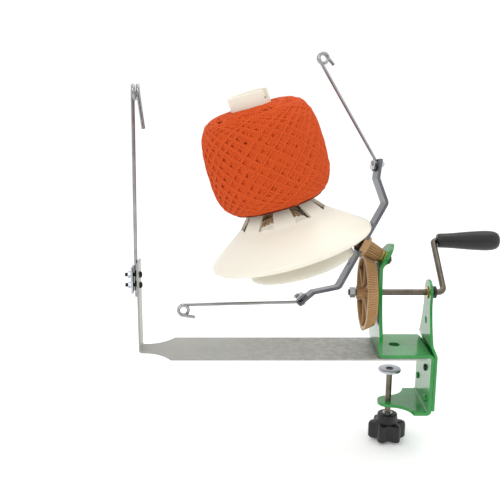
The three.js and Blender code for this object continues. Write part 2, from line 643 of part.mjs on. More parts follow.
function hookedWire() {
  const base = ARM_TIP.clone().addScaledVector(tipNormal, WIRE_OFFSET);
  const end = vec(HOOK_RADIUS, 0, HOOK_REACH);
  const along = end.clone().sub(base).normalize();
  const out = vec(along.z, 0, -along.x); // away from the cone
  const middle = end.clone().addScaledVector(out, RING_RADIUS);
  const turns = 1.5;
  const steps = 20;
  const pitch = 4.8;
  const nodes = rounded([base.clone().addScaledVector(tipDirection, -16), base,
    end.clone().addScaledVector(along, -3)], 3, 2);
  for (let i = 0; i <= steps; i++) {
    const angle = (2 * Math.PI * turns * i) / steps;
    nodes.push(middle.clone().addScaledVector(out, -RING_RADIUS * Math.cos(angle))
      .addScaledVector(along, RING_RADIUS * Math.sin(angle))
      .add(vec(0, (pitch * turns * i) / steps, 0)));
  }
  nodes.push(nodes.at(-1).clone().addScaledVector(along, -14).addScaledVector(out, 2.5));
  return wire(nodes.map((node) => node.clone().add(vec(0, CLAMP_WIRE_Y, 0))), WIRE_RADIUS);
}

const clampPlate = cut(block([-8, -8.5, 0], [3.2, 7.5, CLAMP_PLATE_THICK]),
  barZ(2.5, 0, CLAMP_BOLT_Y, -1, 3, 12));
[["upper", 0], ["lower", HALF_TURN]].forEach(([side, turn]) => {
  const half = new THREE.Group();
  half.rotation.z = turn;
  flyerTurn.add(half);
  const clamp = new THREE.Group(); // origin on the arm's middle at the bolt, +Z towards the cone
  clamp.position.copy(boltPlace);
  clamp.rotation.y = clampTurn;
  half.add(clamp);
  piece(`hook_wire_${side}`, hookedWire(), BRIGHT_STEEL, half);
  piece(`hook_clamp_${side}`, clampPlate, ZINC, clamp).position.z = CLAMP_PLATE_OFFSET;
  const bolt = domeBolt(2.2, 4, 2.6, CLAMP_PLATE_OFFSET + CLAMP_PLATE_THICK + 7);
  piece(`hook_bolt_${side}`, bolt, ZINC, clamp)
    .position.set(0, CLAMP_BOLT_Y, CLAMP_PLATE_OFFSET + CLAMP_PLATE_THICK + GAP);
  piece(`hook_nut_${side}`, hexNut(7, 2.5, 3.2), ZINC, clamp)
    .position.set(0, CLAMP_BOLT_Y, -ARM_THICK / 2 - GAP - 3.2);
});

// ---------- cone drive: hub pinion on the flyer, internal ring gear under the cone ----------
const coneShaftAngle = (90 - FLYER_TILT - CONE_TILT) * RAD;
const hubAngle = Math.atan2(Math.sin(coneShaftAngle),
  RING_TEETH / HUB_TEETH - Math.cos(coneShaftAngle));
const ringAngle = coneShaftAngle + hubAngle;
const hubReach = -RING_CONE_LARGE * Math.cos(hubAngle);
const hubRadius = RING_CONE_LARGE * Math.sin(hubAngle);
const hubModule = (2 * hubRadius) / HUB_TEETH;
const ringReach = -RING_CONE_LARGE * Math.cos(ringAngle);
const ringRadius = RING_CONE_LARGE * Math.sin(ringAngle);
const SLEEVE_RADIUS = 7;
const SLEEVE_START = ARM_FRONT + GAP + 3.4 + GAP;

function hubPinion() {
  const tip = hubRadius + 0.6 * hubModule;
  const root = hubRadius - 1.0 * hubModule;
  const outline = toothed(HUB_TEETH, root, tip, 0.6, 0.2, -FLYER_LEAN * RAD);
  const small = (hubReach * RING_CONE_SMALL) / RING_CONE_LARGE;
  const teeth = bevelBody(outline, hubReach, hubReach, small);
  const sleeve = barZ(SLEEVE_RADIUS, 0, 0, SLEEVE_START - BEND_REACH, hubReach + 1);
  return cut(joined(teeth, sleeve), barZ(RUNNING_RADIUS + 0.1, 0, 0, -140, -20, 16));
}
piece("hub_pinion", hubPinion(), TAN_NYLON, flyerTurn).position.z = BEND_REACH;

function ringGear() {
  const deepen = 1 / Math.cos(ringAngle);
  const inner = ringRadius - 0.6 * hubModule * deepen;
  const outer = ringRadius + 1.0 * hubModule * deepen;
  const phase = HALF_TURN / RING_TEETH;
  const outline = toothed(RING_TEETH, outer, inner, 0.6, 0.2, phase);
  const low = ringReach - 0.01;
  const blank = turned([[40, low], [61, low], [61, -37.6], [54, -32.8], [40, -32.8]], 28);
  return cut(blank, bevelBody(outline, ringReach, ringReach - 2, -30));
}
piece("ring_gear", ringGear(), TAN_NYLON, coneFrame);

// ---------- cone: winding core, windowed neck and wide flange in one moulding ----------
const CONE_SIDES = 28;
const NECK_BASE = [57, -29.4];
const NECK_TOP = [28.5, 3];
const CORE_TOP_RADIUS = 25.5;
const CONE_TOP = 135.5;
const BEARING_RADIUS = 9;

function cone() {
  const shell = turned([
    [102.4, -69.6], [104.4, -70], [105.4, -68], [104.6, -64.4], // rolled rim
    NECK_BASE, NECK_TOP, [CORE_TOP_RADIUS, 128], [CORE_TOP_RADIUS, CONE_TOP - 1.2],
    [CORE_TOP_RADIUS - 1, CONE_TOP], [22.4, CONE_TOP], [22.2, 127], [9.4, 127], [9.4, 123.5],
    [22.2, 123.5], [25.3, 10], [9.4, 10], [9.4, 6.5], [25.3, 6.5], [25.6, 3], [54, -32.2],
    [101.6, -66.6],
  ], CONE_SIDES);
  const flare = Math.tan(11 * RAD);
  const opening = [[20, -20 * flare], [55.4, -55.4 * flare], [55.4, 55.4 * flare], [20, 20 * flare]];
  const windows = [];
  for (let i = 0; i < WINDOW_COUNT; i++) {
    const turn = (-90 + (360 / WINDOW_COUNT) * (i + 0.5)) * RAD;
    windows.push(prism(outlineAt(opening, turn), -34, 0));
  }
  return cut(shell, ...windows);
}
piece("cone", cone(), IVORY_PLASTIC, coneFrame);

function coneBush() {
  return turned([[RUNNING_RADIUS, 0], [BEARING_RADIUS, 0], [BEARING_RADIUS, 4.2], [12, 4.2],
    [12, 6.4], [RUNNING_RADIUS, 6.4]], 20);
}
piece("cone_bush_lower", coneBush(), TAN_NYLON, coneFrame).position.z = 10 + GAP - 4.2;
piece("cone_bush_upper", coneBush(), TAN_NYLON, coneFrame).position.z = 127 + GAP - 4.2;

const YARN_SIDES = 24;
const yarnBall = turned([[41.9, -11.4], [60, -10.5], [71, 2], [77.5, 20], [79, 50], [77.5, 78],
  [73, 97], [65, 110], [55, 118.5], [40, 121], [26.3, 121], [29.4, 3.4]], YARN_SIDES);
piece("yarn_ball", yarnBall, ORANGE_YARN, coneFrame);

// ---------- gear guard: a fixed bell under the cone, set towards the flyer ----------
const GUARD_OFFSET = 7;

function gearGuard() {
  const shell = turned([[0, -68], [50.5, -68], [62.5, -83.5], [68, -92], [68.6, -94.2], [67, -96],
    [65, -95], [60.4, -85], [49.3, -70.8], [0, -70.8]], 28);
  const along = vec(Math.sin(coneShaftAngle), 0, -Math.cos(coneShaftAngle));
  const bend = vec(-GUARD_OFFSET, 0, 0);
  const notch = bar(10.5, bend.clone().addScaledVector(along, 50),
    bend.clone().addScaledVector(along, 150));
  return cut(shell, notch, barZ(RUNNING_RADIUS, -GUARD_OFFSET, 0, -90, -50));
}
piece("gear_guard", gearGuard(), IVORY_PLASTIC, coneFrame).position.x = GUARD_OFFSET;
piece("guard_nut", hexNut(13, RUNNING_RADIUS, 5), ZINC, coneFrame).position.z = -76.2;

// ---------- table clamp: pad, screw, star knob and its insert ----------
const PAD_TOP = -26.5;
const KNOB_TOP = -92;

const padProfile = [[0, PAD_TOP], [13, PAD_TOP], [15, PAD_TOP - 1.6], [15, PAD_TOP - 3.4],
  [13.4, PAD_TOP - 3.4], [12.6, PAD_TOP - 2.2], [7.5, PAD_TOP - 2.4], [7.5, PAD_TOP - 7],
  [RUNNING_RADIUS + 0.2, PAD_TOP - 7], [RUNNING_RADIUS + 0.2, PAD_TOP - 2.6], [0, PAD_TOP - 2.6]];
piece("clamp_pad", turned(padProfile), ZINC);
piece("clamp_screw", barZ(ROD_RADIUS, 0, 0, -118, PAD_TOP - 3, 16), ZINC);

function clampKnob() {
  const lobes = 6;
  const steps = 36;
  const outline = [];
  for (let i = 0; i < steps; i++) {
    const angle = (2 * Math.PI * i) / steps;
    const reach = 21.8 + 3.6 * Math.cos(lobes * angle);
    outline.push(new THREE.Vector2(reach * Math.cos(angle), reach * Math.sin(angle)));
  }
  const star = prism(new THREE.Shape(outline), -127, -103);
  const limit = turned([[0, -127], [22, -127], [25.4, -123], [25.4, -109], [23, -104], [14, -103],
    [0, -103]], 24);
  const hub = turned([[0, KNOB_TOP], [12.6, KNOB_TOP], [13.4, KNOB_TOP - 1], [14.4, -104], [14.4, -105],
    [0, -105]]);
  return cut(joined(star.intersect(limit), hub), barZ(RUNNING_RADIUS, 0, 0, -119, -80, 16),
    barZ(7.1, 0, 0, KNOB_TOP - 5.3, -80));
}
piece("clamp_knob", clampKnob(), BLACK_PLASTIC);
piece("knob_insert", ring(RUNNING_RADIUS, 6.8, KNOB_TOP - 5, KNOB_TOP + 1.5), BRIGHT_STEEL);

export default winder;
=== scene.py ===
import json
import math
import random

import bmesh
import bpy
from mathutils import Matrix, Vector


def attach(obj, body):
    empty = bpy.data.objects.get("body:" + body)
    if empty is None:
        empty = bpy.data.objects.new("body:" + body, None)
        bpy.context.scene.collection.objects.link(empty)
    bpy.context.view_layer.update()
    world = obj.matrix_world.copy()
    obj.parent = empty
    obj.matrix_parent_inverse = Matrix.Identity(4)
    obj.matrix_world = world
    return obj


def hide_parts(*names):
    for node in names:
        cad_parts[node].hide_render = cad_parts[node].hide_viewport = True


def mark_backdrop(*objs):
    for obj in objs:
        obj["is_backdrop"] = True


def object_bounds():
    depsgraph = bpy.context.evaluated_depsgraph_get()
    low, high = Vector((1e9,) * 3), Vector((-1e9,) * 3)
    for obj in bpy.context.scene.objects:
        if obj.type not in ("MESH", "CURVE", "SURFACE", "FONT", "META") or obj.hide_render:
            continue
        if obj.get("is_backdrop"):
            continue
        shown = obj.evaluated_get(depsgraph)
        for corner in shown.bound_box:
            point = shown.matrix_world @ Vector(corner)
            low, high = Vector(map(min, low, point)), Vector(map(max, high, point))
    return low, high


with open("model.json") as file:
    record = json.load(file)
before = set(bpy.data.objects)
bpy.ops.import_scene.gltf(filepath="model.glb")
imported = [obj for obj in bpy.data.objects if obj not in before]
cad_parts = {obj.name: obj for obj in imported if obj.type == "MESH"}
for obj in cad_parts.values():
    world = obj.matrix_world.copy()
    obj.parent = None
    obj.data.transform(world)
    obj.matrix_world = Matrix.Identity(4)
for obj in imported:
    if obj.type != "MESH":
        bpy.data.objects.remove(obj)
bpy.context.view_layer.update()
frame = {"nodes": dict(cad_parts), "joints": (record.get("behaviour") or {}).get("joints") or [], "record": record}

MM = 0.001
DEG = math.pi / 180
TURN = 2 * math.pi
NODES = frame["nodes"]
JOINTS = {joint["name"]: joint for joint in frame["joints"]}

# ---------- the three working axes ----------


def axis_frame(joint_name):
    """Matrix in millimetres with +Z along a joint's axis, +Y to the back, origin on the joint."""
    joint = JOINTS[joint_name]
    along = Vector(joint["axis"]).normalized()
    back = Vector((0, 1, 0))
    side = back.cross(along)
    turn = Matrix((side, back, along)).transposed().to_4x4()
    return Matrix.Translation(Vector(joint["pos_m"])) @ turn @ Matrix.Scale(MM, 4)


WORLD = Matrix.Scale(MM, 4)
SHAFT = axis_frame("crank_turn")
FLYER_LEAN = 12 * DEG
FLYER_AXIS = axis_frame("flyer_spin")
FLYER = FLYER_AXIS @ Matrix.Rotation(FLYER_LEAN, 4, "Z")
CONE = axis_frame("cone_spin")
GRIP = axis_frame("grip_spin")
HALF_TURN_Z = Matrix.Rotation(math.pi, 4, "Z")
ROD_RADIUS = 4  # crank rod and spindle
BORE_RADIUS = 4.5  # in the grip and the clamp pad

# ---------- shared shader groups ----------


def new_group(name, inputs, outputs):
    group = bpy.data.node_groups.new(name, "ShaderNodeTree")
    for label, value in inputs:
        socket = group.interface.new_socket(label, in_out="INPUT", socket_type="NodeSocketFloat")
        socket.default_value = value
    for label in outputs:
        group.interface.new_socket(label, in_out="OUTPUT", socket_type="NodeSocketFloat")
    source = group.nodes.new("NodeGroupInput")
    sink = group.nodes.new("NodeGroupOutput")
    return group, source, sink


def noise(nodes, links, vector, scale, detail=4.0, rough=0.55):
    node = nodes.new("ShaderNodeTexNoise")
    node.inputs["Detail"].default_value = detail
    node.inputs["Roughness"].default_value = rough
    if isinstance(scale, (int, float)):
        node.inputs["Scale"].default_value = scale
    else:
        links.new(scale, node.inputs["Scale"])
    links.new(vector, node.inputs["Vector"])
    return node.outputs["Fac"]


def ramp_range(nodes, links, value, low, high, to_low=0.0, to_high=1.0):
    node = nodes.new("ShaderNodeMapRange")
    limits = {"From Min": low, "From Max": high, "To Min": to_low, "To Max": to_high}
    for label, number in limits.items():
        node.inputs[label].default_value = number
    links.new(value, node.inputs["Value"])
    return node.outputs["Result"]


def surface_group():
    """Slow mottling, fine grain and long scratches, all from object coordinates."""
    group, source, sink = new_group(
        "surface marks",
        [("Mottle Scale", 30.0), ("Grain Scale", 900.0), ("Scratch Scale", 60.0)],
        ["Mottle", "Grain", "Scratches"],
    )
    nodes, links = group.nodes, group.links
    place = nodes.new("ShaderNodeTexCoord").outputs["Object"]
    mottle = noise(nodes, links, place, source.outputs["Mottle Scale"])
    grain = noise(nodes, links, place, source.outputs["Grain Scale"], 2.0)
    stretch = nodes.new("ShaderNodeMapping")
    stretch.inputs["Scale"].default_value = (0.06, 1.0, 1.6)
    stretch.inputs["Rotation"].default_value = (0.0, 0.2, 0.1)
    links.new(place, stretch.inputs["Vector"])
    lines = noise(nodes, links, stretch.outputs["Vector"], source.outputs["Scratch Scale"],
                  6.0, 0.7)
    links.new(mottle, sink.inputs["Mottle"])
    links.new(grain, sink.inputs["Grain"])
    links.new(ramp_range(nodes, links, lines, 0.6, 0.68), sink.inputs["Scratches"])
    return group


def edge_group():
    """Convex edges, broken up by noise, where a finish rubs thin; and hollows, the mask for painted shade."""
    group, source, sink = new_group("edge wear and hollow shade", [("Amount", 0.5)], ["Edge", "Hollow Shade"])
    nodes, links = group.nodes, group.links
    place = nodes.new("ShaderNodeTexCoord").outputs["Object"]
    point = nodes.new("ShaderNodeNewGeometry").outputs["Pointiness"]
    patchy = noise(nodes, links, place, 140.0, 5.0)
    ridge = ramp_range(nodes, links, point, 0.53, 0.62)
    patch = ramp_range(nodes, links, patchy, 0.42, 0.62)
    both = nodes.new("ShaderNodeMath")
    both.operation = "MULTIPLY"
    links.new(ridge, both.inputs[0])
    links.new(patch, both.inputs[1])
    scaled = nodes.new("ShaderNodeMath")
    scaled.operation = "MULTIPLY"
    links.new(both.outputs[0], scaled.inputs[0])
    links.new(source.outputs["Amount"], scaled.inputs[1])
    links.new(scaled.outputs[0], sink.inputs["Edge"])
    # Hollow Shade: low pointiness in creases and hollows, the mask for painted shade
    links.new(ramp_range(nodes, links, point, 0.49, 0.42), sink.inputs["Hollow Shade"])
    return group


SURFACE = surface_group()
EDGES = edge_group()

# ---------- finishes ----------


class Finish:
    """One material: a Principled shader fed by the shared groups."""

    def __init__(self, name, roughness, metallic=0.0):
        self.material = bpy.data.materials.new(name)
        self.material.use_nodes = True
        self.nodes = self.material.node_tree.nodes
        self.links = self.material.node_tree.links
        self.shader = self.nodes["Principled BSDF"]
        self.shader.inputs["Roughness"].default_value = roughness
        self.shader.inputs["Metallic"].default_value = metallic

    def group(self, tree, **values):
        node = self.nodes.new("ShaderNodeGroup")
        node.node_tree = tree
        for label, value in values.items():
            node.inputs[label.replace("_", " ")].default_value = value
        return node.outputs

    def mix(self, factor, first, second):
        node = self.nodes.new("ShaderNodeMix")
        node.data_type = "RGBA"
        self.links.new(factor, node.inputs["Factor"])
        for value, socket in ((first, node.inputs["A"]), (second, node.inputs["B"])):
            if isinstance(value, tuple):
                socket.default_value = (*value, 1.0)
            else:
                self.links.new(value, socket)
        return node.outputs["Result"]

    def spread(self, value, low, high, to_low, to_high):
        return ramp_range(self.nodes, self.links, value, low, high, to_low, to_high)

    def feed(self, label, output):
        self.links.new(output, self.shader.inputs[label])

    def bump(self, height, strength, distance):
        node = self.nodes.new("ShaderNodeBump")
        node.inputs["Strength"].default_value = strength
        node.inputs["Distance"].default_value = distance
        self.links.new(height, node.inputs["Height"])
        self.links.new(node.outputs["Normal"], self.shader.inputs["Normal"])


def painted(name, base, dark, bare, roughness, coat, wear, peel):
    finish = Finish(name, roughness)
    marks = finish.group(SURFACE, Mottle_Scale=22.0, Grain_Scale=peel, Scratch_Scale=90.0)
    edges = finish.group(EDGES, Amount=wear)
    tone = finish.mix(finish.spread(marks["Mottle"], 0.35, 0.65, 0.0, 1.0), dark, base)
    # Painted shade: hollows and creases darkened towards the dark colour, which is also the mottle's darker tone
    tone = finish.mix(finish.spread(edges["Hollow Shade"], 0.0, 1.0, 0.0, 0.35), tone, dark)
    finish.feed("Base Color", finish.mix(edges["Edge"], tone, bare))
    sheen = finish.spread(marks["Scratches"], 0.0, 1.0, roughness, roughness + 0.12)
    finish.feed("Roughness", sheen)
    finish.shader.inputs["Coat Weight"].default_value = coat
    finish.shader.inputs["Coat Roughness"].default_value = 0.08
    finish.bump(marks["Grain"], 0.12, 0.0002)
    return finish.material


def metal(name, bright, dull, roughness, scratch=80.0, grain=700.0):
    finish = Finish(name, roughness, 1.0)
    marks = finish.group(SURFACE, Mottle_Scale=45.0, Grain_Scale=grain, Scratch_Scale=scratch)
    edges = finish.group(EDGES, Amount=0.6)
    tone = finish.mix(finish.spread(marks["Mottle"], 0.3, 0.7, 0.0, 1.0), dull, bright)
    lit = tuple(min(1.0, channel * 1.25) for channel in bright)
    finish.feed("Base Color", finish.mix(edges["Edge"], tone, lit))
    sheen = finish.spread(marks["Grain"], 0.3, 0.7, roughness * 0.8, roughness * 1.3)
    finish.feed("Roughness", sheen)
    finish.bump(marks["Scratches"], 0.08, 0.0001)
    return finish.material


def plastic(name, base, mottle_and_hollow_shade, roughness, grain=1400.0, relief=0.15, skin=0.0):
    finish = Finish(name, roughness)
    marks = finish.group(SURFACE, Mottle_Scale=18.0, Grain_Scale=grain, Scratch_Scale=70.0)
    edges = finish.group(EDGES, Amount=0.25)
    tone = finish.mix(finish.spread(marks["Mottle"], 0.35, 0.7, 0.0, 0.3), base, mottle_and_hollow_shade)
    # Painted shade: hollows and creases, such as the roots of gear teeth, darkened up to 0.8 towards the second
    # colour
    tone = finish.mix(finish.spread(edges["Hollow Shade"], 0.0, 1.0, 0.0, 0.8), tone, mottle_and_hollow_shade)
    finish.feed("Base Color", tone)
    sheen = finish.spread(marks["Mottle"], 0.3, 0.7, roughness - 0.05, roughness + 0.07)
    finish.feed("Roughness", sheen)
    if skin:
        finish.shader.inputs["Subsurface Weight"].default_value = skin
        finish.shader.inputs["Subsurface Radius"].default_value = (0.004, 0.003, 0.002)
        finish.shader.inputs["Subsurface Scale"].default_value = 0.6
    finish.bump(marks["Grain"], relief, 0.00015)
    return finish.material


def yarn_finish(name, base, groove_shade, pale, plies):
    """Plied wool: slanting plies across each strand with painted shade in the grooves between them, fine fibres,
    and a soft sheen.
    """
    finish = Finish(name, 0.85)
    nodes, links = finish.nodes, finish.links
    along = nodes.new("ShaderNodeTexCoord").outputs["UV"]
    slant = nodes.new("ShaderNodeMapping")
    slant.inputs["Scale"].default_value = (plies, 3.0, 1.0)
    links.new(along, slant.inputs["Vector"])
    parts = nodes.new("ShaderNodeSeparateXYZ")
    links.new(slant.outputs["Vector"], parts.inputs[0])
    total = nodes.new("ShaderNodeMath")
    total.operation = "ADD"
    links.new(parts.outputs["X"], total.inputs[0])
    links.new(parts.outputs["Y"], total.inputs[1])
    wave = nodes.new("ShaderNodeMath")
    wave.operation = "PINGPONG"
    wave.inputs[1].default_value = 0.5
    links.new(total.outputs[0], wave.inputs[0])
    marks = finish.group(SURFACE, Mottle_Scale=40.0, Grain_Scale=1600.0, Scratch_Scale=900.0)
    # Painted shade: the grooves between the plies darkened towards the groove colour
    ply = finish.spread(wave.outputs[0], 0.0, 0.3, 0.45, 1.0)
    tone = finish.mix(ply, groove_shade, base)
    tone = finish.mix(finish.spread(marks["Grain"], 0.55, 0.8, 0.0, 0.3), tone, pale)
    finish.feed("Base Color", tone)
    finish.shader.inputs["Sheen Weight"].default_value = 0.08
    finish.shader.inputs["Sheen Roughness"].default_value = 0.4
    finish.shader.inputs["Sheen Tint"].default_value = (1.0, 0.5, 0.3, 1.0)
    finish.shader.inputs["Specular IOR Level"].default_value = 0.2
    finish.bump(ply, 0.7, 0.0006)
    return finish.material


GREEN = painted("green powder coat", (0.008, 0.27, 0.035), (0.004, 0.19, 0.024), (0.2, 0.22, 0.2),
                0.2, 0.35, 0.2, 650.0)
GREY = painted("grey lacquer", (0.33, 0.33, 0.30), (0.3, 0.3, 0.275), (0.55, 0.55, 0.55),
               0.4, 0.15, 0.5, 1500.0)
BRIGHT = metal("polished wire", (0.4, 0.4, 0.41), (0.27, 0.27, 0.28), 0.1)
ZINC = metal("zinc plate", (0.55, 0.57, 0.6), (0.4, 0.42, 0.46), 0.32)
ROD = metal("drawn rod", (0.17, 0.145, 0.115), (0.1, 0.085, 0.068), 0.3, 140.0)
SCREW = metal("oiled thread", (0.34, 0.3, 0.24), (0.2, 0.17, 0.13), 0.34, 140.0)
ARM = metal("plated flat bar", (0.19, 0.195, 0.21), (0.11, 0.115, 0.125), 0.3, 120.0)
BLACKED = metal("blacked steel", (0.03, 0.03, 0.032), (0.018, 0.018, 0.018), 0.4)
BRASS = metal("turned brass", (0.65, 0.45, 0.18), (0.45, 0.3, 0.11), 0.28)
# Each plastic's second colour is both its mottle tone and its painted shade in hollows.
NYLON = plastic("tan nylon", (0.5, 0.3, 0.13), (0.16, 0.075, 0.025), 0.42, 900.0, 0.2, 0.05)
IVORY = plastic("ivory plastic", (0.83, 0.80, 0.69), (0.77, 0.73, 0.60), 0.34, 1100.0, 0.08, 0.12)
BLACK = plastic("black plastic", (0.004, 0.004, 0.0042), (0.008, 0.008, 0.008), 0.4, 1500.0, 0.2)
YARN = yarn_finish("orange wool", (0.66, 0.088, 0.013), (0.27, 0.02, 0.004),
                   (0.78, 0.15, 0.035), 150.0)
# The core's colours are far darker than the wool's: painted shade where the core shows between the wraps.
YARN_CORE_SHADE = yarn_finish("orange wool core in painted shade", (0.2, 0.02, 0.004), (0.09, 0.008, 0.002),
                        (0.3, 0.04, 0.01), 90.0)


SCREW_END_RADIUS = (0.0048, 0.0055)  # metres: where the dark starts and ends to fade


def pad_finish():
    """Zinc, with the dark peened end of the screw showing in the middle of the pad."""
    material = ZINC.copy()
    material.name = "pad zinc"
    nodes, links = material.node_tree.nodes, material.node_tree.links
    parts = nodes.new("ShaderNodeSeparateXYZ")
    links.new(nodes.new("ShaderNodeTexCoord").outputs["Object"], parts.inputs[0])
    x_squared = nodes.new("ShaderNodeMath")
    x_squared.operation = "POWER"
    x_squared.inputs[1].default_value = 2.0
    links.new(parts.outputs["X"], x_squared.inputs[0])
    reach_squared = nodes.new("ShaderNodeMath")
    reach_squared.operation = "MULTIPLY_ADD"
    links.new(parts.outputs["Y"], reach_squared.inputs[0])
    links.new(parts.outputs["Y"], reach_squared.inputs[1])
    links.new(x_squared.outputs[0], reach_squared.inputs[2])
    dark_reach, fade_reach = SCREW_END_RADIUS
    middle = ramp_range(nodes, links, reach_squared.outputs[0], fade_reach ** 2, dark_reach ** 2)
    shader = nodes["Principled BSDF"]
    tone = nodes.new("ShaderNodeMix")
    tone.data_type = "RGBA"
    links.new(middle, tone.inputs["Factor"])
    links.new(shader.inputs["Base Color"].links[0].from_socket, tone.inputs["A"])
    tone.inputs["B"].default_value = (0.015, 0.015, 0.015, 1)
    links.new(tone.outputs["Result"], shader.inputs["Base Color"])
    return material


SLOT_FINISH = {
    "grey_lacquer": GREY, "green_paint": GREEN, "bright_wire": BRIGHT, "zinc": ZINC,
    "black_steel": BLACKED, "brass": BRASS, "rod_steel": ROD, "arm_steel": ARM,
    "tan_nylon": NYLON, "ivory_plastic": IVORY, "black_plastic": BLACK, "orange_yarn": YARN,
}
NODE_SLOT = {part["node"]: part["material_slot"] for part in frame["record"]["subparts"]}
NODE_BODY = {node: body for body, members in frame["record"]["behaviour"]["bodies"].items()
             for node in members}

# ---------- making pieces ----------


def place(mesh_data, name, stands_for=(), body=None, slot=None, finish=None):
    """Link a finished mesh as a piece, riding and finished as the CAD node it stands for."""
    piece = bpy.data.objects.new(name, mesh_data)
    bpy.context.scene.collection.objects.link(piece)
    first = stands_for[0] if stands_for else None
    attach(piece, body or NODE_BODY[first])
    slot = slot or NODE_SLOT[first]
    mesh_data.materials.clear()
    mesh_data.materials.append(finish or SLOT_FINISH[slot])
    if stands_for:
        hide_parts(*stands_for)
    return piece


def smooth(mesh_data, angle=40):
    for face in mesh_data.polygons:
        face.use_smooth = True
    mesh_data.set_sharp_from_angle(angle=angle * DEG)


def from_bmesh(bm, name, matrix=None, angle=40):
    bmesh.ops.remove_doubles(bm, verts=bm.verts, dist=1e-4 if matrix is not None else 1e-7)
    if matrix is not None:
        bmesh.ops.transform(bm, matrix=matrix, verts=bm.verts)
    bmesh.ops.recalc_face_normals(bm, faces=bm.faces)
    mesh_data = bpy.data.meshes.new(name)
    bm.to_mesh(mesh_data)
    bm.free()
    smooth(mesh_data, angle)
    return mesh_data


def bevelled(piece, width, angle=32, segments=2):
    modifier = piece.modifiers.new("eased edges", "BEVEL")
    modifier.width = width * MM
    modifier.limit_method = "ANGLE"
    modifier.angle_limit = angle * DEG
    modifier.segments = segments
    modifier.harden_normals = True
    return piece


def eased(node, width=0.4, angle=32, segments=2):
    """A copy of a CAD node with its facets merged and its edges rounded."""
    bm = bmesh.new()
    bm.from_mesh(NODES[node].data)
    bmesh.ops.remove_doubles(bm, verts=bm.verts, dist=1e-6)
    bmesh.ops.dissolve_limit(bm, angle_limit=1 * DEG, verts=bm.verts, edges=bm.edges)
    mesh_data = bpy.data.meshes.new(node + "_eased")
    bm.to_mesh(mesh_data)
    bm.free()
    smooth(mesh_data, angle)
    return bevelled(place(mesh_data, node + "_eased", (node,)), width, angle, segments)


def spun(profile, name, matrix, steps=96, angle=35):
    """A turned piece: a closed profile of [radius, height] points spun about +Z."""
    bm = bmesh.new()
    corners = [bm.verts.new((radius, 0, height)) for radius, height in profile]
    on_axis = profile[0][0] == 0 and profile[-1][0] == 0
    pairs = list(zip(corners, corners[1:]))
    if not on_axis:
        pairs.append((corners[-1], corners[0]))
    edges = [bm.edges.new(pair) for pair in pairs]
    bmesh.ops.spin(bm, geom=corners + edges, cent=(0, 0, 0), axis=(0, 0, 1), angle=TURN,
                   steps=steps, use_merge=True)
    return from_bmesh(bm, name, matrix, angle)


def rounded_line(points, bend, steps=8):
    """Points along a bent line, with an arc at each inner corner."""
    points = [Vector(point) for point in points]
    line = [points[0]]
    for before, corner, after in zip(points, points[1:], points[2:]):
        into = (corner - before).normalized()
        out = (after - corner).normalized()
        half = into.angle(out) / 2
        start = corner - into * bend * math.tan(half)
        middle = corner + (out - into).normalized() * bend / math.cos(half)
        axis = into.cross(out).normalized()
        for step in range(steps + 1):
            turn = Matrix.Rotation(2 * half * step / steps, 3, axis)
            line.append(middle + turn @ (start - middle))
    line.append(points[-1])
    return line


def tube(lines, radius, name, resolution=5, cyclic=False):
    """A mesh tube along each line; the lines are in metres."""
    curve = bpy.data.curves.new(name, "CURVE")
    curve.dimensions = "3D"
    curve.bevel_depth = radius * MM
    curve.bevel_resolution = resolution
    curve.use_fill_caps = not cyclic
    for line in lines:
        spline = curve.splines.new("POLY")
        spline.points.add(len(line) - 1)
        for point, spot in zip(spline.points, line):
            point.co = (*spot, 1.0)
        spline.use_cyclic_u = cyclic
    carrier = bpy.data.objects.new(name + "_line", curve)
    bpy.context.scene.collection.objects.link(carrier)
    graph = bpy.context.evaluated_depsgraph_get()
    mesh_data = bpy.data.meshes.new_from_object(carrier.evaluated_get(graph))
    bpy.data.objects.remove(carrier)
    bpy.data.curves.remove(curve)
    smooth(mesh_data, 50)
    return mesh_data


def cut_with(mesh_data, cutters, name):
    """The mesh with each cutter taken away."""
    target = bpy.data.objects.new(name, mesh_data)
    bpy.context.scene.collection.objects.link(target)
    tools = []
    for cutter in cutters:
        tool = bpy.data.objects.new(name + "_cutter", cutter)
        bpy.context.scene.collection.objects.link(tool)
        modifier = target.modifiers.new("cut", "BOOLEAN")
        modifier.operation = "DIFFERENCE"
        modifier.solver = "EXACT"
        modifier.object = tool
        tools.append(tool)
    graph = bpy.context.evaluated_depsgraph_get()
    result = bpy.data.meshes.new_from_object(target.evaluated_get(graph))
    for item in [target, *tools]:
        bpy.data.objects.remove(item)
    smooth(result, 30)
    return result


# ---------- plate, bracket and arm: bent flat steel with eased edges ----------
for node, width in (("base_plate", 0.5), ("main_bracket", 0.9), ("crank_support", 0.8),
                    ("flyer_arm", 0.6), ("post_clamp_plate", 0.4), ("hook_clamp_upper", 0.3),
                    ("hook_clamp_lower", 0.3)):
    eased(node, width, 30, 3)

# ---------- gears ----------
for node in ("drive_gear", "flyer_pinion", "ring_gear", "hub_pinion"):
    eased(node, 0.12, 28, 1)

# ---------- fasteners and turned steel ----------
for node in ("post_nut_upper", "post_nut_lower", "gear_nut", "spindle_nut", "hook_nut_upper",
             "hook_nut_lower", "guard_nut"):
    eased(node, 0.5, 32, 3)
for node in ("support_rivet_front", "support_rivet_rear", "support_bolt", "post_bolt_upper",
             "post_bolt_lower", "hook_bolt_upper", "hook_bolt_lower", "thrust_washer",
             "shaft_bush_left", "shaft_bush_right", "crank_collar", "flyer_collar",
             "cone_bush_lower", "cone_bush_upper", "knob_insert"):
    eased(node, 0.3, 48, 2)

# ---------- guide post ----------


POST_X, POST_Y, POST_LOW, POST_BEND = -337.3, 4, 73, 126
POST_RADIUS = 2.4
EYE_RADIUS, EYE_X, EYE_Z, EYE_PITCH = 8, -334.6, 338, 5.9
EYE_TURNS = 1.5
TAIL_END_X, TAIL_END_Z = -320.7, 294
COIL_STEPS = 60


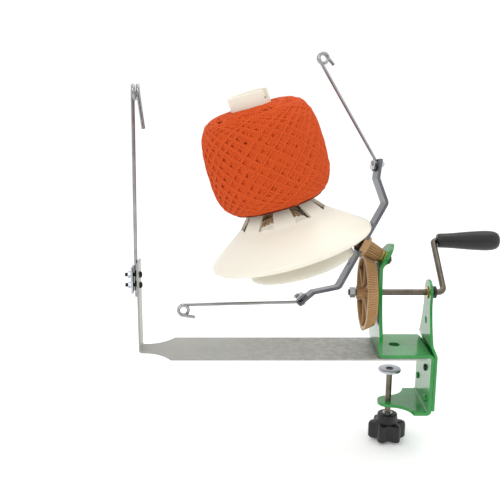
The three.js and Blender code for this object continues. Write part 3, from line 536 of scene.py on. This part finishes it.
def guide_post():
    """An upright wire wound into an open eye at the top, with its end hanging down."""
    line = [Vector((POST_X, POST_Y, POST_LOW)), Vector((POST_X, POST_Y, POST_BEND))]
    for i in range(COIL_STEPS + 1):
        share = i / COIL_STEPS
        angle = TURN * EYE_TURNS * share
        line.append(Vector((EYE_X + EYE_PITCH * EYE_TURNS * share,
                            POST_Y - EYE_RADIUS + EYE_RADIUS * math.cos(angle),
                            EYE_Z + EYE_RADIUS * math.sin(angle))))
    last = line[-1]
    line += [last + Vector((0.4, 0, -4)), Vector((TAIL_END_X, last.y, TAIL_END_Z))]
    wire = tube([[spot * MM for spot in line]], POST_RADIUS, "guide_post_wire", 6)
    place(wire, "guide_post_wire", ("guide_post",))


guide_post()

# ---------- hooked wires of the flyer ----------
ARM_MIDDLE = 127.5
ARM_KNEE = Vector((84, 0, ARM_MIDDLE + 26))
ARM_TIP = Vector((107, 0, ARM_MIDDLE + 35))
TIP_ALONG = (ARM_TIP - ARM_KNEE).normalized()
TIP_NORMAL = Vector((-TIP_ALONG.z, 0, TIP_ALONG.x))
WIRE_RADIUS = 2
WIRE_OFFSET = 4.3
HOOK_END = Vector((178, 0, 291.5))
RING_RADIUS, RING_PITCH, RING_TURNS = 6.2, 4.8, 1.5
WIRE_FOOT = 16  # length clamped along the arm's tip
WIRE_TAIL = 14
WIRE_SIDE = 4  # the wires lie this far off the arm's middle line


def hooked_wire(side, turn):
    base = ARM_TIP + TIP_NORMAL * WIRE_OFFSET
    along = (HOOK_END - base).normalized()
    out = Vector((along.z, 0, -along.x))
    middle = HOOK_END + out * RING_RADIUS
    line = rounded_line([base - TIP_ALONG * WIRE_FOOT, base, HOOK_END - along * 3], 3, 6)
    for i in range(COIL_STEPS + 1):
        share = i / COIL_STEPS
        angle = TURN * RING_TURNS * share
        sideways = Vector((0, RING_PITCH * RING_TURNS * share, 0))
        line.append(middle - out * RING_RADIUS * math.cos(angle)
                    + along * RING_RADIUS * math.sin(angle) + sideways)
    line.append(line[-1] - along * WIRE_TAIL + out * 2.5)
    matrix = FLYER @ turn @ Matrix.Translation((0, WIRE_SIDE, 0))
    name = f"hook_wire_{side}_bent"
    place(tube([[matrix @ spot for spot in line]], WIRE_RADIUS, name, 6), name,
          (f"hook_wire_{side}",))


hooked_wire("upper", Matrix.Identity(4))
hooked_wire("lower", HALF_TURN_Z)

# ---------- crank rod and grip ----------
SHAFT_END_X = -59.5
CRANK_CORNER_X = 66.5
CRANK_BEND, HANDLE_BEND = 8, 5
GRIP_START = 71.8
GRIP_LENGTH = 86
HANDLE_SHORT = 12  # the rod stops this far inside the grip's end


def crank_rod():
    grip_spot = GRIP.translation / MM
    shaft_z = SHAFT.translation.z / MM
    corners = [(SHAFT_END_X, 0, shaft_z), (CRANK_CORNER_X, 0, shaft_z),
               (CRANK_CORNER_X, grip_spot.y / 2, (shaft_z + grip_spot.z) / 2)]
    line = rounded_line(corners, CRANK_BEND, 12)
    handle_end = GRIP_START + GRIP_LENGTH - HANDLE_SHORT
    line += rounded_line([corners[-1], (CRANK_CORNER_X, grip_spot.y, grip_spot.z),
                          (handle_end, grip_spot.y, grip_spot.z)], HANDLE_BEND, 10)[1:]
    rod = tube([[spot * MM for spot in line]], ROD_RADIUS, "crank_rod_bent", 8)
    place(rod, "crank_rod_bent", ("crank_rod",))


def grip():
    grip_spot = GRIP.translation / MM
    start = Matrix.Translation((GRIP_START * MM, grip_spot.y * MM, grip_spot.z * MM))
    matrix = start @ Matrix.Rotation(90 * DEG, 4, "Y") @ Matrix.Scale(MM, 4)
    end = GRIP_LENGTH - 9
    profile = [(0, end), (BORE_RADIUS, end), (BORE_RADIUS, 0), (8.1, 0), (8.8, 0.5), (9.6, 1.8),
               (9.9, 4), (10.1, 12), (10.7, 22), (11.6, 32), (12.5, 43), (13.2, 54),
               (13.65, 62), (13.75, 68), (13.5, 73),
               (13.0, 77), (12.2, 80), (11.1, 82.4), (9.4, 84.4), (7.2, 85.5), (4, 85.95), (0, 86)]
    place(spun(profile, "grip_turned", matrix, 72), "grip_turned", ("grip",))


crank_rod()
grip()

# ---------- spindle ----------
SPINDLE_START, BEND_REACH = 83, 254.5  # along the flyer's axis
SPINDLE_LOW, SPINDLE_HIGH = -78, 131  # along the cone's axis


def spindle():
    """The fixed rod: it leans along the flyer's axis and then stands along the cone's."""
    leaning = [FLYER_AXIS @ Vector((0, 0, reach)) for reach in (SPINDLE_START, BEND_REACH)]
    upright = [CONE @ Vector((0, 0, reach)) for reach in (SPINDLE_LOW, SPINDLE_HIGH)]
    rods = tube([leaning, upright], ROD_RADIUS, "spindle_rods", 8)
    place(rods, "spindle_rods", ("spindle",), finish=ROD)


spindle()

# ---------- cone with its windows ----------
WINDOW_COUNT = 7
WINDOW_INNER, WINDOW_OUTER = 20, 55.2
WINDOW_LOW, WINDOW_RISE = -34, 34
WINDOW_HALF_ANGLE = 11 * DEG
HUB_NOTCH_TURN = -32 * DEG
HUB_NOTCH_SIZE = (12, 9, 18)
HUB_NOTCH_PLACE = (25, 0, 132)


def window_cutter(i):
    """A wedge-shaped column that cuts one window of the cone."""
    flare = math.tan(WINDOW_HALF_ANGLE)
    corners = [(WINDOW_INNER, -WINDOW_INNER * flare), (WINDOW_OUTER, -WINDOW_OUTER * flare),
               (WINDOW_OUTER, WINDOW_OUTER * flare), (WINDOW_INNER, WINDOW_INNER * flare)]
    bm = bmesh.new()
    face = bm.faces.new([bm.verts.new((x, y, WINDOW_LOW)) for x, y in corners])
    raised = bmesh.ops.extrude_face_region(bm, geom=[face])["geom"]
    tops = [item for item in raised if isinstance(item, bmesh.types.BMVert)]
    bmesh.ops.translate(bm, vec=(0, 0, WINDOW_RISE), verts=tops)
    angle = -90 * DEG + TURN / WINDOW_COUNT * (i + 0.5)
    return from_bmesh(bm, "window", Matrix.Rotation(angle, 4, "Z"))


def notch_cutter():
    """A block that cuts the notch in the hub's rim."""
    bm = bmesh.new()
    bmesh.ops.create_cube(bm, size=1)
    block = Matrix.Translation(HUB_NOTCH_PLACE) @ Matrix.Diagonal((*HUB_NOTCH_SIZE, 1))
    bmesh.ops.transform(bm, matrix=Matrix.Rotation(HUB_NOTCH_TURN, 4, "Z") @ block, verts=bm.verts)
    return from_bmesh(bm, "hub_notch", Matrix.Identity(4))


def cone():
    profile = [
        (102.4, -69.4), (103.2, -70), (104.3, -70), (105.1, -69.3), (105.4, -68), (105.3, -66),
        (104.7, -64.6), (103.6, -63.4), (84, -49.0), (66, -36.4), (59, -31.2), (57, -29.4),
        (55.8, -27.9), (42, -12.4), (31, 0), (28.9, 2.6), (28.2, 5), (27.6, 20), (25.6, 118),
        (25.5, 134.4), (25.2, 135.2), (24.5, 135.5), (22.9, 135.5), (22.4, 135.2), (22.3, 134),
        (22.2, 127), (9.4, 127), (9.4, 123.5), (22.2, 123.5), (25.3, 10), (9.4, 10), (9.4, 6.5),
        (25.3, 6.5), (25.7, 3), (54, -32.2), (101.6, -66.6),
    ]
    shell = spun(profile, "cone_shell", Matrix.Identity(4), 126)
    cutters = [window_cutter(i) for i in range(WINDOW_COUNT)] + [notch_cutter()]
    opened = cut_with(shell, cutters, "cone_opened")
    opened.transform(CONE)
    smooth(opened, 30)
    bevelled(place(opened, "cone_moulding", ("cone",)), 0.5, 40, 2)


cone()

# ---------- gear guard ----------
GUARD_OFFSET = 7  # towards the flyer
NOTCH_RADIUS = 10.5  # lets the flyer's sleeve pass
TILT_COSINE = Vector(JOINTS["flyer_spin"]["axis"]).dot(Vector(JOINTS["cone_spin"]["axis"]))
TILT_BETWEEN = math.acos(max(-1, min(1, TILT_COSINE)))


def rod_cutter(radius, depth, segments, name, matrix):
    bm = bmesh.new()
    bmesh.ops.create_cone(bm, cap_ends=True, segments=segments, radius1=radius, radius2=radius,
                          depth=depth)
    return from_bmesh(bm, name, matrix)


def gear_guard():
    profile = [(0, -68), (49.6, -68), (50.5, -68.3), (51.2, -69), (62.5, -83.5), (66.2, -88.6),
               (68, -92), (68.6, -94.0), (68.4, -95.4), (67.4, -96), (66.2, -95.8), (65, -94.6),
               (60.4, -85), (49.3, -70.8), (0, -70.8)]
    shell = spun(profile, "guard_shell", Matrix.Translation((GUARD_OFFSET, 0, 0)), 108)
    along = Vector((math.sin(TILT_BETWEEN), 0, -math.cos(TILT_BETWEEN)))
    turn = Vector((0, 0, 1)).rotation_difference(along).to_matrix().to_4x4()
    notch = rod_cutter(NOTCH_RADIUS, 100, 40, "guard_notch", Matrix.Translation(along * 100) @ turn)
    bore = rod_cutter(4.3, 40, 32, "guard_bore", Matrix.Translation((0, 0, -70)))
    opened = cut_with(shell, [notch, bore], "guard_opened")
    opened.transform(CONE)
    smooth(opened, 30)
    bevelled(place(opened, "gear_guard_bell", ("gear_guard",)), 0.4, 40, 2)


gear_guard()

# ---------- table clamp ----------
PAD_TOP = -26.5
KNOB_TOP = -92


def clamp_pad():
    profile = [(0, -1.0), (4.6, -1.0), (5.4, -0.4), (6.4, -0.3), (13.6, 0), (14.6, -0.3),
               (15, -0.9), (15, -2.2), (15, -3.2), (14.6, -3.4), (13.6, -3.3), (12.6, -2.2),
               (8.2, -2.5), (7.5, -3), (7.5, -6.6), (7.1, -7), (4.8, -7), (BORE_RADIUS, -6.7),
               (BORE_RADIUS, -2.6), (0, -2.6)]
    matrix = WORLD @ Matrix.Translation((0, 0, PAD_TOP))
    place(spun(profile, "clamp_pad_cup", matrix, 72), "clamp_pad_cup", ("clamp_pad",),
          finish=pad_finish())


THREAD_PITCH, THREAD_CORE, THREAD_CREST = 1.25, 3.35, 3.98
THREAD_STEPS = 18  # to each turn
SCREW_LOW, THREAD_LOW = -118, -95


def clamp_screw():
    """A threaded rod: a core with a ridge wound round it."""
    pitch, core, crest = THREAD_PITCH, THREAD_CORE, THREAD_CREST
    low, high = THREAD_LOW, PAD_TOP - 4
    bm = bmesh.new()
    heights = (0.0, 0.3 * pitch, 0.5 * pitch, 0.8 * pitch, pitch)
    radii = (core, crest, crest, core, core)
    corners = [bm.verts.new((radius, 0, low + height)) for radius, height in zip(radii, heights)]
    edges = [bm.edges.new(pair) for pair in zip(corners, corners[1:])]
    turns = int((high - low) / pitch) - 1
    bmesh.ops.spin(bm, geom=corners + edges, cent=(0, 0, 0), axis=(0, 0, 1),
                   dvec=(0, 0, pitch / THREAD_STEPS), angle=TURN * turns,
                   steps=THREAD_STEPS * turns)
    bmesh.ops.remove_doubles(bm, verts=bm.verts, dist=1e-3)
    profile = [(0, SCREW_LOW), (crest, SCREW_LOW), (crest, low + pitch), (core + 0.1, low + pitch),
               (core + 0.1, high - 1), (3.9, high - 0.6), (3.9, PAD_TOP - 3.4), (3.4, PAD_TOP - 3),
               (0, PAD_TOP - 3)]
    bm.from_mesh(spun(profile, "screw_core", Matrix.Identity(4), 40))
    bmesh.ops.transform(bm, matrix=WORLD, verts=bm.verts)
    mesh_data = bpy.data.meshes.new("clamp_screw_thread")
    bm.to_mesh(mesh_data)
    bm.free()
    smooth(mesh_data, 25)
    place(mesh_data, "clamp_screw_thread", ("clamp_screw",), finish=SCREW)


LOBES, LOBE_MIDDLE = 6, 21.7
LOBE_DEPTH, TOP_LOBE_DEPTH = 3.6, 1.2


def clamp_knob():
    """Star knob: six soft lobes under a round hub."""
    bm = bmesh.new()
    rings = [(-127.0, 0.86), (-126.6, 0.93), (-125.4, 0.985), (-123.4, 1.0), (-108.4, 1.0),
             (-105.6, 0.975), (-104.0, 0.92), (-103.2, 0.8), (-103.0, 0.62)]
    circle = bmesh.ops.create_circle(bm, cap_ends=True, segments=144, radius=1.0)["verts"]
    edge = list(bm.edges)

    def shape(verts, height, scale):
        for vert in verts:
            angle = math.atan2(vert.co.y, vert.co.x)
            depth = LOBE_DEPTH if scale > 0.7 else TOP_LOBE_DEPTH
            reach = (LOBE_MIDDLE + depth * math.cos(LOBES * angle)) * scale
            vert.co = (reach * math.cos(angle), reach * math.sin(angle), height)

    shape(circle, *rings[0])
    for height, scale in rings[1:]:
        grown = bmesh.ops.extrude_edge_only(bm, edges=edge)["geom"]
        edge = [item for item in grown if isinstance(item, bmesh.types.BMEdge)]
        shape([item for item in grown if isinstance(item, bmesh.types.BMVert)], height, scale)
    bmesh.ops.contextual_create(bm, geom=edge)
    star = from_bmesh(bm, "knob_star", Matrix.Identity(4))
    hub_profile = [(7.0, KNOB_TOP - 5.3), (7.0, KNOB_TOP), (12.2, KNOB_TOP),
                   (12.9, KNOB_TOP - 0.3), (13.3, KNOB_TOP - 1.2), (13.9, -100),
                   (15.2, -103.2), (15.2, -105), (7.0, -105)]
    hub = spun(hub_profile, "knob_hub", Matrix.Identity(4), 72)
    bm = bmesh.new()
    bm.from_mesh(star)
    bm.from_mesh(hub)
    bmesh.ops.transform(bm, matrix=WORLD, verts=bm.verts)
    mesh_data = bpy.data.meshes.new("clamp_knob_star")
    bm.to_mesh(mesh_data)
    bm.free()
    smooth(mesh_data, 35)
    place(mesh_data, "clamp_knob_star", ("clamp_knob",))


clamp_pad()
clamp_screw()
clamp_knob()

# ---------- wound yarn ----------
BALL_MIDDLE = 54.0
BALL_PROFILE = [(0, 119.5), (30, 119.5), (44, 118.6), (55, 116.2), (64, 109.4), (71.6, 96),
                (75.6, 78), (77.2, 50), (75.6, 20), (69.4, 3), (58.6, -8.4), (42, -9.6), (0, -9.6)]
STRAND_RADIUS = 1.6
LOOP_STEPS = 72
WRAP_TURN = 10 / 56 * TURN  # how far each wrap moves on round the ball
WRAP_DRIFT = 0.092 * DEG
BAND_DRIFT = 0.082 * DEG
WRAP_SLOPE = 43.5 * DEG
OUTER_WRAPS = 28 * 4  # 28 bands of four strands
UNDER_WRAPS = 28 * 5
CAP_WRAPS = 60


def ball_reach(direction):
    """Distance from the ball's middle to its outside along a direction."""
    level = math.hypot(direction.x, direction.y)
    best = None
    for (r0, h0), (r1, h1) in zip(BALL_PROFILE, BALL_PROFILE[1:]):
        a, b = h0 - BALL_MIDDLE, h1 - BALL_MIDDLE
        cross0 = r0 * direction.z - a * level
        cross1 = r1 * direction.z - b * level
        if cross0 * cross1 > 0 or cross0 == cross1:
            continue
        share = cross0 / (cross0 - cross1)
        reach = math.hypot(r0 + (r1 - r0) * share, a + (b - a) * share)
        best = reach if best is None else max(best, reach)
    return best or 60.0


def wrap(rng, slope, azimuth, depth, ripple):
    """One closed wrap of the strand, in a plane leaning by `slope`, `depth` below the surface."""
    normal = Matrix.Rotation(azimuth, 3, "Z") @ Vector((math.sin(slope), 0, math.cos(slope)))
    first = normal.orthogonal().normalized()
    second = normal.cross(first)
    shift = rng.uniform(-0.008, 0.008)
    wobble, phase = rng.uniform(0.0, 0.004), rng.uniform(0, TURN)
    line = []
    for i in range(LOOP_STEPS):
        angle = TURN * i / LOOP_STEPS
        way = first * math.cos(angle) + second * math.sin(angle)
        way += normal * (shift + wobble * math.sin(3 * angle + phase))
        way.normalize()
        reach = ball_reach(way) - STRAND_RADIUS - depth + ripple * math.sin(5 * angle + phase)
        line.append(CONE @ (Vector((0, 0, BALL_MIDDLE)) + way * reach))
    return line


def outer_bands(rng):
    """The last wraps, in bands of strands side by side."""
    lines = []
    for k in range(OUTER_WRAPS):
        azimuth = k * (WRAP_TURN + BAND_DRIFT) + rng.uniform(-0.3, 0.3) * DEG
        slope = WRAP_SLOPE + rng.uniform(-0.5, 0.5) * DEG
        lines.append(wrap(rng, slope, azimuth, 2.6 * (1 - k / OUTER_WRAPS), 0.2))
    return lines


def under_wraps(rng):
    """Earlier wraps, which show between the bands and cover the top and bottom of the ball."""
    lines = []
    for k in range(UNDER_WRAPS):
        azimuth = k * (WRAP_TURN + WRAP_DRIFT) + rng.uniform(-0.7, 0.7) * DEG
        slope = WRAP_SLOPE + rng.uniform(-1, 1) * DEG
        lines.append(wrap(rng, slope, azimuth, 5.4 - 0.017 * k, 0.3))
    for k in range(CAP_WRAPS):
        slope = (66 - 20 * k / CAP_WRAPS + rng.uniform(-1, 1)) * DEG
        azimuth = k * (WRAP_TURN + 3 * WRAP_DRIFT) + rng.uniform(-2, 2) * DEG
        lines.append(wrap(rng, slope, azimuth, 1.2 + 1.4 * rng.random(), 0.3))
    return lines


def yarn_ball():
    rng = random.Random(11)
    place(tube(outer_bands(rng), STRAND_RADIUS, "yarn_outer_bands", 1, cyclic=True),
          "yarn_outer_bands", ("yarn_ball",))
    place(tube(under_wraps(rng), STRAND_RADIUS, "yarn_under_wraps", 1, cyclic=True),
          "yarn_under_wraps", body="cone", slot="orange_yarn")
    # A filled core under the wraps; its dark finish is painted shade in the gaps between strands.
    inner = [(41.9, -11), (57, -8), (65.6, 3), (71.5, 20), (73, 50), (71.5, 78), (67.5, 95),
             (60, 107), (52, 112.5), (40, 115.5), (26.6, 116), (29.6, 4)]
    place(spun(inner, "yarn_core", CONE, 96), "yarn_core", body="cone", slot="orange_yarn",
          finish=YARN_CORE_SHADE)


yarn_ball()

# ---------- floor, light and camera ----------


FLOOR_HALF_WIDTH = 6
FLOOR_GAP = 0.004


def stage():
    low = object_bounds()[0]
    bm = bmesh.new()
    bmesh.ops.create_grid(bm, x_segments=1, y_segments=1, size=FLOOR_HALF_WIDTH)
    bmesh.ops.translate(bm, vec=(0, 0, low.z - FLOOR_GAP), verts=bm.verts)
    mesh_data = bpy.data.meshes.new("floor")
    bm.to_mesh(mesh_data)
    bm.free()
    floor = bpy.data.objects.new("floor", mesh_data)
    bpy.context.scene.collection.objects.link(floor)
    paper = bpy.data.materials.new("pale floor")
    paper.use_nodes = True
    shader = paper.node_tree.nodes["Principled BSDF"]
    shader.inputs["Base Color"].default_value = (0.95, 0.95, 0.95, 1)
    shader.inputs["Roughness"].default_value = 0.9
    shader.inputs["Emission Color"].default_value = (1, 1, 1, 1)
    shader.inputs["Emission Strength"].default_value = 0.12
    mesh_data.materials.append(paper)
    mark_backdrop(floor, *dark_cards())


CARDS = [("card left", (-1.5, -0.9, 0.35), 62, (0.7, 1.0)),  # name, place, turn, size
         ("card right", (1.1, -0.9, 0.35), -58, (0.7, 1.0)),
         ("card front", (-0.2, -2.2, 0.15), 0, (1.6, 0.5))]


def dark_cards():
    """Black cards outside the picture, so that bright metal has something dark to mirror."""
    felt = bpy.data.materials.new("black card")
    felt.use_nodes = True
    shader = felt.node_tree.nodes["Principled BSDF"]
    shader.inputs["Base Color"].default_value = (0.01, 0.01, 0.01, 1)
    shader.inputs["Roughness"].default_value = 0.9
    cards = []
    for name, spot, turn, size in CARDS:
        bm = bmesh.new()
        bmesh.ops.create_grid(bm, x_segments=1, y_segments=1, size=0.5)
        stand = Matrix.Rotation(turn * DEG, 4, "Z") @ Matrix.Rotation(90 * DEG, 4, "X")
        matrix = Matrix.Translation(spot) @ stand @ Matrix.Diagonal((*size, 1, 1))
        bmesh.ops.transform(bm, verts=bm.verts, matrix=matrix)
        mesh_data = bpy.data.meshes.new(name)
        bm.to_mesh(mesh_data)
        bm.free()
        mesh_data.materials.append(felt)
        card = bpy.data.objects.new(name, mesh_data)
        bpy.context.scene.collection.objects.link(card)
        card.visible_camera = False
        cards.append(card)
    return cards


def soft_light(name, spot, aim, size, power):
    light = bpy.data.lights.new(name, "AREA")
    light.shape = "RECTANGLE"
    light.size = size[0]
    light.size_y = size[1]
    light.energy = power
    lamp = bpy.data.objects.new(name, light)
    bpy.context.scene.collection.objects.link(lamp)
    lamp.location = spot
    lamp.rotation_euler = (Vector(aim) - Vector(spot)).to_track_quat("-Z", "Y").to_euler()


def studio():
    world = bpy.data.worlds.new("studio")
    bpy.context.scene.world = world
    world.use_nodes = True
    background = world.node_tree.nodes["Background"]
    background.inputs["Color"].default_value = (1, 1, 1, 1)
    background.inputs["Strength"].default_value = 1.0
    bpy.context.scene.view_settings.view_transform = "Standard"
    aim = (-0.15, 0, 0.15)
    soft_light("key light", (-0.9, -1.3, 1.5), aim, (1.2, 1.2), 9)
    soft_light("fill light", (1.4, -0.9, 0.6), aim, (0.9, 1.4), 3)
    soft_light("top light", (0.1, 0.5, 1.7), aim, (1.6, 1.0), 7)


VIEW_PITCH = 13.9 * DEG
VIEW_DISTANCE = 1.030
VIEW_AIM = Vector((-0.2052, 0, 0.1370))
FOCAL = 57.24  # on a 36 mm sensor
SHIFT = 0.026


def camera():
    data = bpy.data.cameras.new("camera")
    data.lens = FOCAL
    data.sensor_width = 36
    data.shift_x = SHIFT
    eye = bpy.data.objects.new("camera", data)
    bpy.context.scene.collection.objects.link(eye)
    towards_eye = Vector((0, -math.cos(VIEW_PITCH), math.sin(VIEW_PITCH)))
    eye.location = VIEW_AIM + towards_eye * VIEW_DISTANCE
    eye.rotation_euler = (math.pi / 2 - VIEW_PITCH, 0, 0)
    bpy.context.scene.camera = eye


stage()
studio()
camera()
